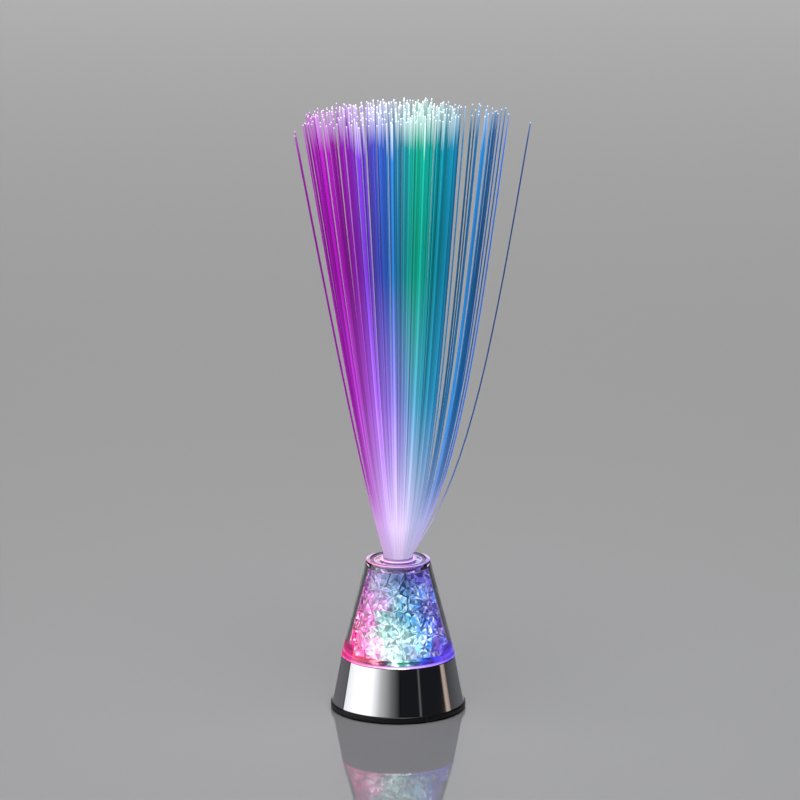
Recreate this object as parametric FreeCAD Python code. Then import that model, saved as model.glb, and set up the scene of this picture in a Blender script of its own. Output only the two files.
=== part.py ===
"""Fibre optic lamp: a battery base, a clear chamber of crystals and a spray of fibres.

Millimetres, +Z up. The origin is on the table at the middle of the foot, and -Y is the front.
Every height above the foot is a stack of the pieces under it, and the base is as wide as its
battery box needs.
"""
import FreeCAD
import Part

import math
import os
import random

V = FreeCAD.Vector
UP = V(0, 0, 1)
ALONG_X = V(1, 0, 0)
ALONG_Y = V(0, 1, 0)

# Cells and their box
cell_r = 5.25
cell_length = 44.5
cell_nub_r = 1.9
cell_nub_height = 1.0
cell_count = 3
cell_spacing = 0.4
spring_length = 4.0
contact_t = 0.4
contact_half_width = 3.5
contact_half_height = 3.9
solder_tab_width = 2.0
box_wall = 1.2
box_corner_r = 3.2
box_clearance = 0.3
tab_slot_clearance = 0.2

# Contact springs
spring_wire_r = 0.22
spring_coil_r = 2.2
spring_turns = 4

# Foot plate, its ring and its screws
floor_gap = 0.8
foot_plate_t = 3.0
foot_lip = 0.8
foot_edge_round = 0.7
foot_ring_width = 3.3
foot_ring_inset = 1.2
foot_ring_groove = 0.6
groove_clearance = 0.1
spigot_height = 3.0
spigot_wall = 1.4
spigot_clearance = 0.2
foot_screw_r = 1.2
foot_screw_head_r = 2.4
foot_screw_head_t = 1.4
foot_screw_length = 9.0
screw_recess = 0.2
screw_clearance = 0.2
pilot_clearance = 0.03

# Battery door
door_t = 1.6
door_recess = 0.4
door_gap = 0.3
door_cell_gap = 0.4
door_lip = 0.25
door_pin_r = 0.6
door_pin_length = 1.5
door_pin_clearance = 0.05
latch_t = 1.2
latch_width = 8.0
latch_height = 2.2
thumb_notch_depth = 0.5
thumb_notch_length = 4.0
thumb_notch_width = 12.0

# Chromed skirt
skirt_wall = 2.0
skirt_taper = 0.1914
skirt_clearance = 1.0
skirt_edge_round = 0.8
deck_t = 2.0
boss_r = 2.8
boss_gap = 0.9
boss_box_gap = 1.67

# Slide switch
switch_length = 12.0
switch_width = 5.4
switch_height = 4.2
switch_shell_t = 0.6
switch_play = 0.1
switch_travel = 3.0
switch_margin = 0.5
switch_from_box = 5.4
slider_length = 4.6
slider_width = 3.0
slider_t = 1.3
knob_length = 2.0
knob_width = 1.8
knob_recess = 0.5
finger_recess_depth = 1.0
finger_recess_margin = 2.6
terminal_height = 2.0
terminal_r = 0.5
terminal_pitch = 2.5

# Circuit board, lamps and reflector
wire_space = 2.8
board_t = 1.6
board_gap = 0.7
board_post_r = 1.9
board_post_inset = 2.3
board_post_turn = 60
board_screw_r = 0.8
board_screw_head_r = 1.7
board_screw_head_t = 1.2
board_screw_length = 5.5
chip_length = 5.2
chip_width = 4.0
chip_t = 1.4
lug_size = 1.6
led_count = 3
led_circle_r = 6.2
led_r = 2.5
led_flange_r = 2.9
led_flange_t = 1.0
led_height = 8.6
led_lead = 0.5
led_lead_pitch = 2.54
led_lead_length = 2.4
led_lead_clearance = 0.15
led_top_gap = 1.2
cup_wall = 1.0
cup_led_gap = 0.2
cup_rim_gap = 0.3
cup_top_gap = 0.2

# Wires
wire_r = 0.45
wire_straight = 3.0
wire_slack = 1.2

# Crystal chamber
chamber_height = 52.4
chamber_step = 0.1
chamber_wall = 2.1
chamber_foot_wall = 4.1
chamber_floor_t = 2.0
chamber_floor_clearance = 0.15
rim_r = 16.9
rim_lip = 1.2
rim_round = 0.4
ledge_t = 1.5
ledge_width = 1.7
lid_t = 1.3
lid_clearance = 0.25
lid_ridge_width = 0.6
lid_ridge_height = 0.7
lid_ridge_inset = 1.7

# Light tube and the sleeve round the fibres
sleeve_wall = 0.35
sleeve_above_tube = 1.2
tube_sleeve_gap = 0.15
tube_wall = 1.4
tube_above_lid = 1.4
tube_seat = 1.0
tube_seat_clearance = 0.1
bundle_end_recess = 0.4
bundle_top_recess = 0.3

# Crystals
crystal_spacing = 6.0
crystal_wall_gap = 0.6
upright_wall_turns = (-30, -10, 10, 30)
sloping_wall_turns = (-40, -20, 0, 20, 40)
crystal_least_gap = 0.2
crystal_gap_spread = 0.25
crystal_least_volume = 20.0
crystal_tries = 9000

# Fibres
fibre_d = 0.75
fibre_gap = 0.05
lattice_turn = 8
fibre_straight = 0.3
bundle_r = 7.2
spray_top = 328.0
spray_sag_left = 7.0
spray_sag_right = 1.5
spray_sag_deep = 2.0
spray_uneven = 3.5
spray_left = 53.0
spray_dense_right = 35.5
spray_tuft_left = 40.0
spray_right = 60.0
spray_depth = 32.0
spray_tuft_depth = 27.0
spray_bend_left = 0.09
spray_bend_right = 0.40
spray_bend_reach = 0.2
tuft_share = 0.78
stray_right = 71.0
stray_left = 57.0
stray_left_count = 2
stray_drop = 7.0
tip_scatter = 0.22
warp_size = 1.5
fibre_sides = 6
fibre_heights = (0.0, 0.1, 0.22, 0.38, 0.56, 0.76)
core_r = 1.7
inner_r = 3.7
middle_r = 5.9

# The stack, from the table up
foot_top = floor_gap + foot_plate_t
door_bottom = floor_gap + door_recess
door_top = door_bottom + door_t
cell_z = door_top + door_cell_gap + cell_r
box_ceiling = cell_z + cell_r + box_clearance
box_top = box_ceiling + box_wall
board_bottom = box_top + wire_space
board_top = board_bottom + board_t
base_top = board_top + led_height + led_top_gap
deck_bottom = base_top - deck_t
floor_top = base_top + chamber_floor_t
tube_bottom = floor_top - tube_seat
rim_top = base_top + chamber_height
lid_top = rim_top - rim_lip
lid_bottom = lid_top - lid_t
ledge_bottom = lid_bottom - ledge_t
tube_top = lid_top + tube_above_lid
sleeve_top = tube_top + sleeve_above_tube
fibre_bottom = sleeve_top - bundle_top_recess
spray_bottom = sleeve_top + fibre_straight

# The box of cells, side by side across the base
cell_pitch = 2 * cell_r + cell_spacing
bay_half_length = (2 * contact_t + spring_length + cell_length) / 2
bay_half_width = cell_count * cell_pitch / 2 + 0.05
box_half_length = bay_half_length + box_wall
box_half_width = bay_half_width + box_wall
box_reach = math.hypot(box_half_length - box_corner_r, box_half_width - box_corner_r) + box_corner_r

# The skirt clears the corners of the box
skirt_mid_r = box_reach + skirt_clearance + skirt_wall


def skirt_outer(z):
    """Outer radius of the skirt at a height."""
    return skirt_mid_r - skirt_taper * (z - box_top)


skirt_foot_r = skirt_outer(foot_top)
skirt_top_r = skirt_outer(base_top)
foot_r = skirt_foot_r + foot_lip
ring_outer_r = foot_r - foot_ring_inset
ring_inner_r = ring_outer_r - foot_ring_width
ring_top = floor_gap + foot_ring_groove
spigot_top = foot_top + spigot_height
spigot_r = skirt_outer(spigot_top) - skirt_wall - spigot_clearance
boss_circle = skirt_outer(deck_bottom) - skirt_wall - boss_r - boss_gap
boss_y = box_half_width + boss_r + boss_box_gap
boss_x = math.sqrt(boss_circle ** 2 - boss_y ** 2)
boss_places = [(sx * boss_x, sy * boss_y) for sx in (-1, 1) for sy in (-1, 1)]
foot_screw_z = floor_gap + screw_recess + foot_screw_head_t

# The door opening is the inside of the bay, less a lip
opening_half_length = bay_half_length - door_lip
opening_half_width = bay_half_width - door_lip
door_half_width = opening_half_width - door_gap
door_axis_x = door_gap + door_t / 2 - opening_half_length
door_axis_z = (door_bottom + door_top) / 2
door_end_x = opening_half_length - door_gap

# Board, reflector and lamps
board_r = boss_circle - boss_r - board_gap
board_post_circle = board_r - board_post_inset
cup_top_r = board_post_circle - board_post_r - cup_rim_gap
cup_foot_r = led_circle_r + led_flange_r + 0.5
cup_floor_z = board_top + led_flange_t + cup_led_gap
cup_top = base_top - cup_top_gap

# Switch, in front of the box
switch_y = -(box_half_width + switch_from_box)
slider_rest_x = switch_travel / 2
wire_z = (box_top + board_bottom) / 2 + 0.3

# Chamber
chamber_base_r = skirt_top_r + chamber_step
chamber_slope = (chamber_base_r - rim_r) / chamber_height
chamber_foot_inner_r = chamber_base_r - chamber_foot_wall
lid_r = rim_r - chamber_wall - lid_clearance

# Fibre stalk
sleeve_inner_r = bundle_r + fibre_d / 2 + fibre_gap
sleeve_r = sleeve_inner_r + sleeve_wall
tube_inner_r = sleeve_r + tube_sleeve_gap
tube_r = tube_inner_r + tube_wall
fibre_pitch = fibre_d + fibre_gap


def chamber_outer(z):
    """Outer radius of the clear cone at a height."""
    return chamber_base_r - chamber_slope * (z - base_top)


def chamber_inner(z):
    """Inner radius of the clear cone: upright at the foot, then along the cone."""
    return min(chamber_foot_inner_r, chamber_outer(z) - chamber_wall)


def box(x0, x1, y0, y1, z0, z1):
    return Part.makeBox(x1 - x0, y1 - y0, z1 - z0, V(x0, y0, z0))


def rod(r, x, y, z0, z1):
    return Part.makeCylinder(r, z1 - z0, V(x, y, z0))


def ring(r_out, r_in, z0, z1):
    return rod(r_out, 0, 0, z0, z1).cut(rod(r_in, 0, 0, z0, z1))


def turned(profile):
    """Solid of revolution about Z through (radius, height) corners."""
    corners = [V(r, 0, z) for r, z in profile]
    face = Part.Face(Part.makePolygon(corners + corners[:1]))
    return face.revolve(V(0, 0, 0), UP, 360)


def rounded_box(half_x, half_y, corner_r, z0, z1):
    body = box(-half_x, half_x, -half_y, half_y, z0, z1)
    upright = [edge for edge in body.Edges if abs(edge.BoundBox.ZLength - (z1 - z0)) < 1e-6]
    return body.makeFillet(corner_r, upright)


def circles(shape, radius, height):
    """Edges of a turned solid on one circle round Z."""
    found = []
    for edge in shape.Edges:
        if isinstance(edge.Curve, Part.Circle):
            near = abs(edge.Curve.Radius - radius) < 1e-4 and abs(edge.Curve.Center.z - height) < 1e-4
            if near:
                found.append(edge)
    return found


def faceted(faces):
    """Closed solid from flat faces, each a list of corners."""
    return Part.Solid(Part.Shell([Part.Face(Part.makePolygon(face + face[:1])) for face in faces]))


def arc_from(start, direction, end):
    """Arc that leaves start along direction and reaches end."""
    chord = end - start
    along = FreeCAD.Vector(chord).normalize()
    side = direction - along * direction.dot(along)
    lean = math.atan2(side.Length, direction.dot(along))
    middle = start + chord * 0.5 + side.normalize() * (chord.Length / 2 * math.tan(lean / 2))
    return Part.Arc(start, middle, end).toShape()


def tube_along(edges, radius):
    """Round wire along tangent edges."""
    path = Part.Wire(edges)
    first = edges[0]
    start = first.valueAt(first.FirstParameter)
    heading = first.tangentAt(first.FirstParameter)
    end = Part.Wire(Part.Circle(start, heading, radius).toShape())
    return path.makePipeShell([end], True, False)


def foot_ring():
    return ring(ring_outer_r, ring_inner_r, 0, ring_top)


def foot_plate():
    """Black moulded floor of the lamp, wider than the skirt that stands on it."""
    plate = rod(foot_r, 0, 0, floor_gap, foot_top)
    rims = circles(plate, foot_r, foot_top) + circles(plate, foot_r, floor_gap)
    plate = plate.makeFillet(foot_edge_round, rims)
    plate = plate.fuse(ring(spigot_r, spigot_r - spigot_wall, foot_top, spigot_top))
    groove = ring(ring_outer_r + groove_clearance, ring_inner_r - groove_clearance, floor_gap, ring_top)
    opening = box(-opening_half_length, opening_half_length, -opening_half_width, opening_half_width,
                  floor_gap, foot_top)
    plate = plate.cut([groove, opening])
    socket_reach = door_half_width + door_pin_length + door_pin_clearance
    socket = Part.makeCylinder(door_pin_r + door_pin_clearance, 2 * socket_reach,
                               V(door_axis_x, -socket_reach, door_axis_z), ALONG_Y)
    plate = plate.cut(socket)
    for x, y in boss_places:
        plate = plate.cut(rod(foot_screw_head_r + screw_clearance, x, y, floor_gap, foot_screw_z))
        plate = plate.cut(rod(foot_screw_r + screw_clearance, x, y, foot_screw_z, foot_top))
    window_x = (switch_travel + knob_length) / 2 + switch_margin
    window_y = knob_width / 2 + 3 * switch_play
    window = box(-window_x, window_x, switch_y - window_y, switch_y + window_y, floor_gap, foot_top)
    recess_x = window_x + finger_recess_margin
    recess_y = window_y + finger_recess_margin / 2
    recess = box(-recess_x, recess_x, switch_y - recess_y, switch_y + recess_y,
                 floor_gap, floor_gap + finger_recess_depth)
    return plate.cut([window, recess]).removeSplitter()


def foot_screws():
    screws = []
    for x, y in boss_places:
        head = rod(foot_screw_head_r, x, y, foot_screw_z - foot_screw_head_t, foot_screw_z)
        slot_half = foot_screw_head_r * 0.7
        slot_w = foot_screw_head_t / 5
        slot_top = foot_screw_z - foot_screw_head_t / 2
        head = head.cut(box(x - slot_half, x + slot_half, y - slot_w, y + slot_w,
                            foot_screw_z - foot_screw_head_t, slot_top))
        head = head.cut(box(x - slot_w, x + slot_w, y - slot_half, y + slot_half,
                            foot_screw_z - foot_screw_head_t, slot_top))
        screws.append(head.fuse(rod(foot_screw_r, x, y, foot_screw_z, foot_screw_z + foot_screw_length)))
    return Part.makeCompound(screws)


def battery_door():
    """Door with a round hinge edge, two pins and a latch tongue."""
    door = box(door_axis_x, door_end_x, -door_half_width, door_half_width, door_bottom, door_top)
    edge = Part.makeCylinder(door_t / 2, 2 * door_half_width,
                             V(door_axis_x, -door_half_width, door_axis_z), ALONG_Y)
    pin_reach = door_half_width + door_pin_length
    pins = Part.makeCylinder(door_pin_r, 2 * pin_reach, V(door_axis_x, -pin_reach, door_axis_z), ALONG_Y)
    tongue = box(door_end_x - latch_t, door_end_x, -latch_width / 2, latch_width / 2, door_top,
                 door_top + latch_height)
    notch = box(door_end_x - latch_t - thumb_notch_length, door_end_x - latch_t,
                -thumb_notch_width / 2, thumb_notch_width / 2, door_bottom, door_bottom + thumb_notch_depth)
    return door.fuse([edge, pins, tongue]).cut(notch).removeSplitter()


def tab_place(cell, side):
    """Middle of a cell's contact: x of the bay wall on a side of the box, and y of the cell."""
    return side * bay_half_length, cell_y(cell)


def cell_y(cell):
    return (cell - (cell_count - 1) / 2) * cell_pitch


def spring_side(cell):
    """Cells lie head to tail: the spring is on the left of even cells and on the right of odd ones."""
    return -1 if cell % 2 == 0 else 1


def battery_box():
    """Upturned tray that holds the cells, open to the door below."""
    shell = rounded_box(box_half_length, box_half_width, box_corner_r, foot_top, box_top)
    bay = rounded_box(bay_half_length, bay_half_width, box_corner_r - box_wall, foot_top, box_ceiling)
    shell = shell.cut(bay)
    for cell, side in ((0, -1), (cell_count - 1, 1)):
        x, y = tab_place(cell, side)
        half = solder_tab_width / 2 + tab_slot_clearance
        x0 = x - contact_t - tab_slot_clearance if side > 0 else x - tab_slot_clearance
        x1 = x + tab_slot_clearance if side > 0 else x + contact_t + tab_slot_clearance
        shell = shell.cut(box(x0, x1, y - half, y + half, box_ceiling, box_top))
    return shell


def battery(cell):
    """Cell along X: flat end at its spring, nub at the other contact."""
    side = spring_side(cell)
    flat_x = side * (bay_half_length - contact_t - spring_length)
    heading = ALONG_X * -side
    can = Part.makeCylinder(cell_r, cell_length - cell_nub_height, V(flat_x, cell_y(cell), cell_z), heading)
    can_end = flat_x - side * (cell_length - cell_nub_height)
    nub = Part.makeCylinder(cell_nub_r, cell_nub_height, V(can_end, cell_y(cell), cell_z), heading)
    return can.fuse(nub)


def contact_plate(first, last, side, tab):
    """Contact across the ends of cells first to last, with a solder tab where tab is true."""
    wall = side * bay_half_length
    x0 = min(wall, wall - side * contact_t)
    x1 = x0 + contact_t
    y0 = cell_y(first) - contact_half_width
    y1 = cell_y(last) + contact_half_width
    plate = box(x0, x1, y0, y1, cell_z - contact_half_height, cell_z + contact_half_height)
    if tab:
        half = solder_tab_width / 2
        y = cell_y(first)
        plate = plate.fuse(box(x0, x1, y - half, y + half, cell_z, wire_z + 2 * wire_r)).removeSplitter()
    return plate


def contact_spring(cell):
    """Coil spring between a contact and the flat end of its cell."""
    side = spring_side(cell)
    start_x = side * (bay_half_length - contact_t - spring_wire_r)
    travel = -side * (spring_length - 2 * spring_wire_r)
    steps = 4 * spring_turns

    def place(k):
        turn = math.pi / 2 * k
        return V(start_x + travel * k / steps, cell_y(cell) + spring_coil_r * math.cos(turn),
                 cell_z + spring_coil_r * math.sin(turn))

    def heading(k):
        turn = math.pi / 2 * k
        rise = travel / steps / (math.pi / 2)
        return V(rise, -spring_coil_r * math.sin(turn), spring_coil_r * math.cos(turn)).normalize()

    edges = []
    for k in range(steps):
        start, end = place(k), place(k + 1)
        leave, arrive = heading(k), heading(k + 1)
        middle = biarc_joint(start, leave, end, arrive)
        edges.append(arc_from(start, leave, middle))
        back = arc_from(end, arrive * -1, middle)
        halfway = back.valueAt((back.FirstParameter + back.LastParameter) / 2)
        edges.append(Part.Arc(middle, halfway, end).toShape())
    return tube_along(edges, spring_wire_r)


def biarc_joint(start, leave, end, arrive):
    """Point where two tangent arcs of equal reach meet."""
    gap = end - start
    both = leave + arrive
    spread = 2 * (1 - leave.dot(arrive))
    reach = (-gap.dot(both) + math.sqrt(gap.dot(both) ** 2 + spread * gap.dot(gap))) / spread
    return (start + end + (leave - arrive) * reach) * 0.5


def base_shell():
    """Chromed skirt with a deck on top, screw bosses and board posts under the deck."""
    inner_deck = skirt_outer(deck_bottom) - skirt_wall
    deck_hole = cup_top_r + cup_rim_gap
    shell = turned([(skirt_foot_r, foot_top), (skirt_top_r, base_top), (deck_hole, base_top),
                    (deck_hole, deck_bottom), (inner_deck, deck_bottom),
                    (skirt_foot_r - skirt_wall, foot_top)])
    shell = shell.makeFillet(skirt_edge_round, circles(shell, skirt_top_r, base_top))
    for x, y in boss_places:
        shell = shell.fuse(rod(boss_r, x, y, foot_top, deck_bottom))
    for x, y in board_posts():
        shell = shell.fuse(rod(board_post_r, x, y, board_top, deck_bottom))
    pilot_top = foot_screw_z + foot_screw_length + 1
    for x, y in boss_places:
        shell = shell.cut(rod(foot_screw_r + pilot_clearance, x, y, foot_top, pilot_top))
    for x, y in board_posts():
        shell = shell.cut(rod(board_screw_r + pilot_clearance, x, y, board_top, deck_bottom - 1))
    return shell.removeSplitter()


def board_posts():
    return [polar(board_post_circle, board_post_turn + 120 * k) for k in range(3)]


def led_places():
    return [polar(led_circle_r, 90 + 360 / led_count * k) for k in range(led_count)]


def polar(radius, degrees):
    return radius * math.cos(math.radians(degrees)), radius * math.sin(math.radians(degrees))


def switch_body():
    """Slide switch case with a cavity for its slider and three terminals."""
    floor = foot_top + switch_shell_t
    case = box(-switch_length / 2, switch_length / 2,
               switch_y - switch_width / 2, switch_y + switch_width / 2,
               foot_top, foot_top + switch_height)
    room_x = (slider_length + switch_travel) / 2 + switch_play
    room_y = slider_width / 2 + switch_play
    case = case.cut(box(-room_x, room_x, switch_y - room_y, switch_y + room_y,
                        floor, floor + slider_t + 2 * switch_play))
    slot_x = (switch_travel + knob_length) / 2 + switch_play
    slot_y = knob_width / 2 + switch_play
    case = case.cut(box(-slot_x, slot_x, switch_y - slot_y, switch_y + slot_y, foot_top, floor))
    for k in (-1, 0, 1):
        case = case.fuse(rod(terminal_r, k * terminal_pitch, switch_y, foot_top + switch_height,
                             foot_top + switch_height + terminal_height))
    return case


def switch_slider():
    floor = foot_top + switch_shell_t + switch_play
    x = slider_rest_x
    plate = box(x - slider_length / 2, x + slider_length / 2, switch_y - slider_width / 2,
                switch_y + slider_width / 2, floor, floor + slider_t)
    knob = box(x - knob_length / 2, x + knob_length / 2, switch_y - knob_width / 2, switch_y + knob_width / 2,
               floor_gap + knob_recess, floor)
    return plate.fuse(knob).removeSplitter()


def circuit_board():
    """Round board on the posts, with a solder lug under it for each wire."""
    board = rod(board_r, 0, 0, board_bottom, board_top)
    for x, y in board_posts():
        board = board.cut(rod(board_screw_r + screw_clearance, x, y, board_bottom, board_top))
    for x, y in lead_places():
        board = board.cut(rod(led_lead / math.sqrt(2) + led_lead_clearance, x, y, board_bottom, board_top))
    for x, y in (supply_lug(), switched_lug()):
        half = lug_size / 2
        board = board.fuse(box(x - half, x + half, y - half, y + half, wire_z - half, board_bottom))
    return board.removeSplitter()


def lead_places():
    half = led_lead_pitch / 2
    return [(x + s * half, y) for x, y in led_places() for s in (-1, 1)]


def supply_lug():
    return board_r * 0.6, cell_y(cell_count - 1)


def switched_lug():
    return terminal_pitch, -board_r * 0.5


def board_screws():
    screws = []
    for x, y in board_posts():
        head = rod(board_screw_head_r, x, y, board_bottom - board_screw_head_t, board_bottom)
        screws.append(head.fuse(rod(board_screw_r, x, y, board_bottom, board_bottom + board_screw_length)))
    return Part.makeCompound(screws)


def driver_chip():
    return box(-chip_length / 2, chip_length / 2, -chip_width / 2, chip_width / 2, board_bottom - chip_t,
               board_bottom)


def led(k):
    """Domed lamp on the board, its two leads through it."""
    x, y = led_places()[k]
    shoulder = board_top + led_height - led_r
    body = rod(led_flange_r, x, y, board_top, board_top + led_flange_t)
    body = body.fuse(rod(led_r, x, y, board_top + led_flange_t, shoulder))
    body = body.fuse(Part.makeSphere(led_r, V(x, y, shoulder)))
    for s in (-1, 1):
        lead_x = x + s * led_lead_pitch / 2
        half = led_lead / 2
        lead_end = board_top - led_lead_length
        body = body.fuse(box(lead_x - half, lead_x + half, y - half, y + half, lead_end, board_top))
    return body.removeSplitter()


def reflector_cup():
    """White funnel that stands on the board round the lamps and opens under the chamber."""
    outer_foot = cup_foot_r + cup_wall
    cup = turned([(outer_foot, board_top), (outer_foot, cup_floor_z), (cup_top_r, cup_top),
                  (cup_top_r - cup_wall, cup_top), (cup_foot_r, cup_floor_z + cup_wall),
                  (0, cup_floor_z + cup_wall), (0, cup_floor_z), (cup_foot_r, cup_floor_z),
                  (cup_foot_r, board_top)])
    for x, y in led_places():
        cup = cup.cut(rod(led_r + cup_led_gap, x, y, cup_floor_z, cup_floor_z + cup_wall))
    return cup


def route(points, radius):
    """Wire of straight runs joined by the largest tangent arcs that fit, and the least radius."""
    edges = []
    at = points[0]
    least = math.inf
    for before, corner, after in zip(points, points[1:], points[2:]):
        arrive = (corner - before).normalize()
        leave = (after - corner).normalize()
        half_turn = arrive.getAngle(leave) / 2
        cut = 0.45 * min((corner - before).Length, (after - corner).Length)
        least = min(least, cut / math.tan(half_turn))
        start, end = corner - arrive * cut, corner + leave * cut
        edges.append(Part.makeLine(at, start))
        edges.append(arc_from(start, arrive, end))
        at = end
    edges.append(Part.makeLine(at, points[-1]))
    return tube_along(edges, radius), least


def wire_red():
    """From the positive contact to the board."""
    x, y = tab_place(cell_count - 1, 1)
    lug_x, lug_y = supply_lug()
    start = V(x - contact_t, y, wire_z)
    end = V(lug_x + lug_size / 2, lug_y, wire_z)
    bow = V((start.x + end.x) / 2, y + wire_slack, wire_z)
    away = ALONG_X * wire_straight
    return route([start, start - away, bow, end + away, end], wire_r)


def wire_black():
    """From the negative contact over the box and down to the switch."""
    x, y = tab_place(0, -1)
    down_x = -terminal_pitch
    top = foot_top + switch_height + terminal_height
    return route([V(x + contact_t, y, wire_z), V(x * 0.55, y, wire_z), V(down_x * 1.6, y - 4, wire_z),
                  V(down_x, switch_y, wire_z), V(down_x, switch_y, top)], wire_r)


def wire_switched():
    """From the switch up to the board."""
    lug_x, lug_y = switched_lug()
    top = foot_top + switch_height + terminal_height
    end = V(lug_x, lug_y - lug_size / 2, wire_z)
    return route([V(0, switch_y, top), V(0, switch_y, wire_z), end - ALONG_Y * wire_straight, end], wire_r)


def chamber_floor():
    """Clear disc over the lamps, with a seat for the light tube."""
    disc = rod(chamber_foot_inner_r - chamber_floor_clearance, 0, 0, base_top, floor_top)
    return disc.cut(rod(tube_r + tube_seat_clearance, 0, 0, tube_bottom, floor_top))


def crystal_chamber():
    """Clear cone with a thick foot, a ledge for the lid and a rounded rim."""
    bend_z = base_top + (chamber_foot_wall - chamber_wall) / chamber_slope
    ledge_r = lid_r - ledge_width
    neck_r = rim_r - chamber_wall
    cone = turned([(chamber_base_r, base_top), (rim_r, rim_top), (neck_r, rim_top), (neck_r, lid_bottom),
                   (ledge_r, lid_bottom), (ledge_r, ledge_bottom),
                   (chamber_inner(ledge_bottom), ledge_bottom),
                   (chamber_foot_inner_r, bend_z), (chamber_foot_inner_r, base_top)])
    return cone.makeFillet(rim_round, circles(cone, rim_r, rim_top) + circles(cone, neck_r, rim_top))


def chamber_lid():
    """Clear disc round the light tube, with a raised ring on it."""
    lid = ring(lid_r, tube_r + tube_seat_clearance, lid_bottom, lid_top)
    ridge_r = lid_r - lid_ridge_inset
    ridge = ring(ridge_r, ridge_r - lid_ridge_width, lid_top, lid_top + lid_ridge_height)
    return lid.fuse(ridge).removeSplitter()


def light_tube():
    return ring(tube_r, tube_inner_r, tube_bottom, tube_top)


def fibre_ferrule():
    return ring(sleeve_r, sleeve_inner_r, tube_bottom, sleeve_top)


def bonded_bundle():
    """The fibres inside the sleeve, bonded into one clear rod with a polished lower end."""
    return rod(sleeve_inner_r, 0, 0, tube_bottom + bundle_end_recess, fibre_bottom)


def crystal_seeds():
    """Places in the chamber that keep their distance from each other."""
    chance = random.Random(7)
    bottom = floor_top + crystal_spacing / 2
    top = ledge_bottom - crystal_spacing / 2
    seeds = []
    for _ in range(crystal_tries):
        z = chance.uniform(bottom, top)
        turn = chance.uniform(0, 2 * math.pi)
        near = tube_r + crystal_wall_gap + crystal_spacing / 3
        far = max(near, chamber_inner(z) - crystal_wall_gap - crystal_spacing / 3)
        r = math.sqrt(chance.uniform(near ** 2, far ** 2))
        seed = V(r * math.cos(turn), r * math.sin(turn), z)
        if all((seed - other).Length > crystal_spacing for other in seeds):
            seeds.append(seed)
    return seeds


def block(middle, half):
    """Faces of a cube as lists of corners."""
    faces = []
    for end in (-1, 1):
        for a, b in ((ALONG_Y, UP), (UP, ALONG_X), (ALONG_X, ALONG_Y)):
            out = a.cross(b) * end
            signs = ((-1, -1), (1, -1), (1, 1), (-1, 1))
            faces.append([middle + (out + a * i + b * j) * half for i, j in signs])
    return faces


def trimmed(faces, normal, limit):
    """The part of a convex solid where a point's measure along normal is under limit."""
    kept = []
    rim = []
    for face in faces:
        side = [corner.dot(normal) - limit for corner in face]
        piece = []
        for k, corner in enumerate(face):
            after = face[(k + 1) % len(face)]
            here, there = side[k], side[(k + 1) % len(face)]
            if here <= 0:
                piece.append(corner)
            if here * there < 0:
                cross = corner + (after - corner) * (here / (here - there))
                piece.append(cross)
                rim.append(cross)
        if len(piece) > 2:
            kept.append(piece)
    if rim:
        kept.append(cap(rim, normal))
    return kept


def cap(points, normal):
    """The corners of a cut, each once and in order round it."""
    corners = []
    for point in points:
        if all((point - other).Length > 1e-6 for other in corners):
            corners.append(point)
    middle = V(0, 0, 0)
    for corner in corners:
        middle += corner * (1 / len(corners))
    across = (corners[0] - middle).normalize()
    up = normal.cross(across)

    def turn(corner):
        arm = corner - middle
        return math.atan2(arm.dot(up), arm.dot(across))

    return sorted(corners, key=turn)


def crystals():
    """Loose acrylic chips: each is its seed's own share of the chamber, less the gaps."""
    chance = random.Random(11)
    seeds = crystal_seeds()
    steep = math.hypot(1, chamber_slope)
    chips = []
    for seed in seeds:
        out = V(seed.x, seed.y, 0).normalize()
        facing = math.degrees(math.atan2(seed.y, seed.x))
        faces = block(seed, crystal_spacing * 1.2)
        for other in seeds:
            apart = other - seed
            if 0 < apart.Length < 3 * crystal_spacing:
                normal = FreeCAD.Vector(apart).normalize()
                gap = crystal_least_gap + crystal_gap_spread * chance.random()
                faces = trimmed(faces, normal, (seed + apart * 0.5).dot(normal) - gap)
        faces = trimmed(faces, UP, ledge_bottom - crystal_wall_gap)
        faces = trimmed(faces, UP * -1, -(floor_top + crystal_wall_gap))
        faces = trimmed(faces, out * -1, -(tube_r + crystal_wall_gap))
        for turn in upright_wall_turns:
            out = V(*polar(1, facing + turn), 0)
            faces = trimmed(faces, out, chamber_foot_inner_r - crystal_wall_gap)
        for turn in sloping_wall_turns:
            out = V(*polar(1, facing + turn), 0)
            lean = (out + UP * chamber_slope) * (1 / steep)
            wall = out * (chamber_outer(seed.z) - chamber_wall - crystal_wall_gap) + UP * seed.z
            faces = trimmed(faces, lean, wall.dot(lean))
        chip = faceted(faces)
        if chip.Volume > crystal_least_volume:
            chips.append((seed.z, chip))
    return chips


def crystal_layer(chips, low, high):
    """Chips whose seeds lie in a share of the chamber's height."""
    bottom = floor_top + (ledge_bottom - floor_top) * low
    top = floor_top + (ledge_bottom - floor_top) * high
    return Part.makeCompound([chip for z, chip in chips if bottom <= z < top])


def fibre_sites():
    """Close-packed places of the fibres in the sleeve, in rows that lie askew to X."""
    rows = int(bundle_r / fibre_pitch) + 2
    sites = []
    for row in range(-rows, rows + 1):
        for column in range(-rows, rows + 1):
            x = (column + row % 2 / 2) * fibre_pitch
            y = row * fibre_pitch * math.sqrt(3) / 2
            if math.hypot(x, y) <= bundle_r:
                sites.append(polar(math.hypot(x, y), math.degrees(math.atan2(y, x)) + lattice_turn))
    return sites


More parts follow.
